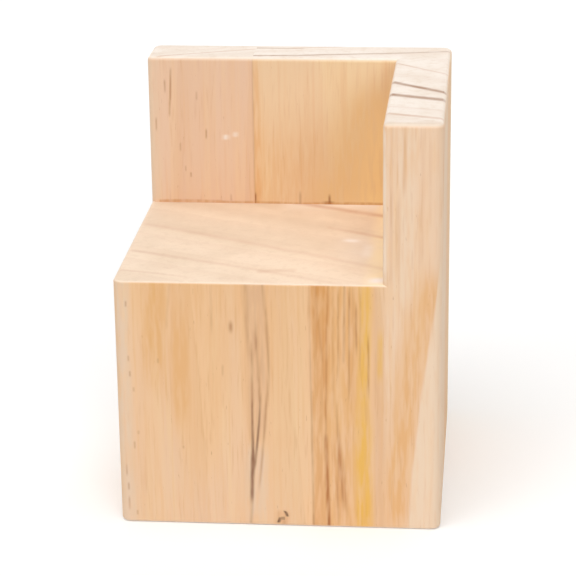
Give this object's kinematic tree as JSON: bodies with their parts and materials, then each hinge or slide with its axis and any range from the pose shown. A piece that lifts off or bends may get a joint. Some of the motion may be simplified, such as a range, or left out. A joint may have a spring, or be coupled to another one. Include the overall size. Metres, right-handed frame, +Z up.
{
  "type": "bed riser",
  "caption": "Square pine block with a corner ledge and low walls behind and beside it, which lifts the leg of a bed and keeps it from sliding off.",
  "frame": {"origin": "centre of the block's underside", "axes": "+Z up from the floor, +Y towards the back wall, +X towards the side wall"},
  "size_m": [0.1, 0.1, 0.13],
  "materials": {
    "pine_post": "bare pine, planed and sanded",
    "pine_stave_pink": "bare pine, planed and sanded",
    "pine_stave_yellow": "bare pine, planed and sanded"
  },
  "bodies": {
    "root": {"notched_block": "pine_post", "back_stave_left": "pine_stave_pink", "back_stave_right": "pine_stave_yellow"}
  },
  "joints": []
}
